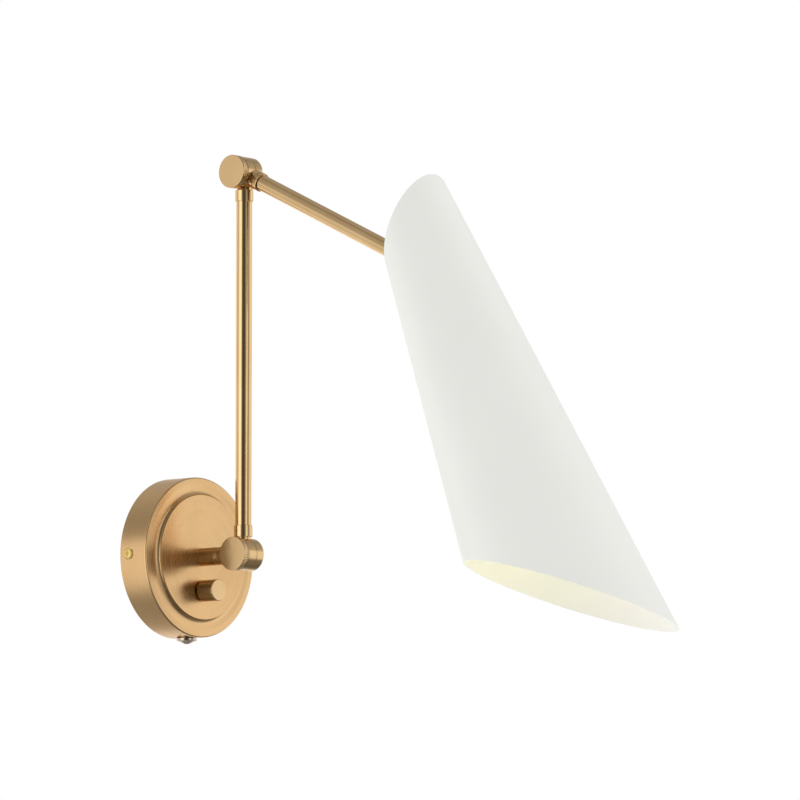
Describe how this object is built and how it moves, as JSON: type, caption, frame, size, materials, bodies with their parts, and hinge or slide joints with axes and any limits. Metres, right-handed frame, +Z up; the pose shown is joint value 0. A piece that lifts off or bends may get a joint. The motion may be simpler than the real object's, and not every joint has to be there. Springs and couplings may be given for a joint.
{
  "type": "wall lamp",
  "caption": "Wall lamp: round brass canopy with rotary dimmer, two brass arms on clamped knuckles, and a long slanted white cone shade over a lamp holder.",
  "frame": {"origin": "centre of the wall bracket's back face, on the wall and on the canopy's axis", "axes": "+Y into the wall, so the light stands out along -Y; +Z up; X across, the arms lie in the plane X = 0"},
  "size_m": [0.1644, 0.4981, 0.3735],
  "materials": {
    "satin_brass": "lacquered satin brass, fine brushed",
    "polished_plug": "polished",
    "bright_brass": "bright plain brass",
    "white_paint": "satin white paint",
    "zinc_steel": "zinc plated",
    "black_plastic": "matt moulded",
    "white_plastic": "moulded",
    "cable_sheath": "smooth sheath",
    "fibre": "pressed fibre",
    "opal_glass": "opal"
  },
  "bodies": {
    "wall_mount": {"wall_bracket": "zinc_steel", "canopy": "satin_brass", "canopy_screws": "bright_brass", "earth_washer": "bright_brass", "earth_screw": "bright_brass", "terminal_block": "white_plastic", "terminal_screws": "zinc_steel", "outlet_plug": "polished_plug", "outlet_plug_nut": "zinc_steel", "dimmer_body": "black_plastic", "dimmer_nut": "zinc_steel", "stem_post": "satin_brass", "stem_nipple": "zinc_steel", "stem_lock_washer": "zinc_steel", "stem_nut": "zinc_steel", "stem_collar": "satin_brass", "lower_knuckle_fixed": "satin_brass", "lower_friction_washer": "fibre"},
    "dimmer": {"dimmer_shaft": "white_plastic", "dimmer_knob": "satin_brass", "knob_grub_screw": "zinc_steel"},
    "lower_clamp": {"lower_thumb_screw": "satin_brass"},
    "lower_arm": {"lower_knuckle_moving": "satin_brass", "lower_arm_bottom_collar": "satin_brass", "lower_arm_tube": "satin_brass", "lower_arm_cable": "cable_sheath", "lower_arm_top_collar": "satin_brass", "elbow_fixed": "satin_brass", "elbow_friction_washer": "fibre"},
    "elbow_clamp": {"elbow_thumb_screw": "satin_brass"},
    "elbow": {"elbow_moving": "satin_brass", "twist_clip": "zinc_steel"},
    "upper_arm": {"twist_ring": "satin_brass", "twist_ferrule": "satin_brass", "upper_arm_tube": "satin_brass", "twist_bush": "black_plastic", "upper_arm_cable": "cable_sheath", "arm_tip_lug": "satin_brass"},
    "lamp_head": {"head_yoke": "satin_brass", "hinge_bolt": "zinc_steel", "hinge_nut": "zinc_steel", "hinge_washers": "fibre", "holder_nipple": "zinc_steel", "lamp_holder": "black_plastic", "socket_sleeve": "bright_brass", "centre_contact": "bright_brass", "shade_ring": "black_plastic", "shade_spider": "zinc_steel", "shade": "white_paint", "bulb_cap": "zinc_steel", "bulb_glass": "opal_glass"}
  },
  "joints": [
    {"name": "lower_knuckle", "type": "hinge", "parent": "wall_mount", "child": "lower_arm", "pos_m": [0, -0.069, 0], "axis": [1, 0, 0], "range_deg": [-10, 75]},
    {"name": "elbow_knuckle", "type": "hinge", "parent": "lower_arm", "child": "elbow", "pos_m": [0, -0.069, 0.286], "axis": [1, 0, 0], "range_deg": [-110, 5]},
    {"name": "arm_twist", "type": "hinge", "parent": "elbow", "child": "upper_arm", "pos_m": [0, -0.069, 0.286], "axis": [0, -0.8988, -0.4384], "range_deg": [-74, 106]},
    {"name": "shade_tilt", "type": "hinge", "parent": "upper_arm", "child": "lamp_head", "pos_m": [0, -0.25865, 0.1935], "axis": [0.9622, 0.1194, -0.2447], "range_deg": [-45, 8]},
    {"name": "dimmer_turn", "type": "hinge", "parent": "wall_mount", "child": "dimmer", "pos_m": [0, -0.036, -0.0253], "axis": [0, 1, 0], "range_deg": [0, 300]},
    {"name": "lower_thumb_screw_turn", "type": "hinge", "parent": "wall_mount", "child": "lower_clamp", "pos_m": [0, -0.069, 0], "axis": [1, 0, 0], "range_deg": [-180, 0]},
    {"name": "elbow_thumb_screw_turn", "type": "hinge", "parent": "lower_arm", "child": "elbow_clamp", "pos_m": [0, -0.069, 0.286], "axis": [1, 0, 0], "range_deg": [-180, 0]}
  ]
}
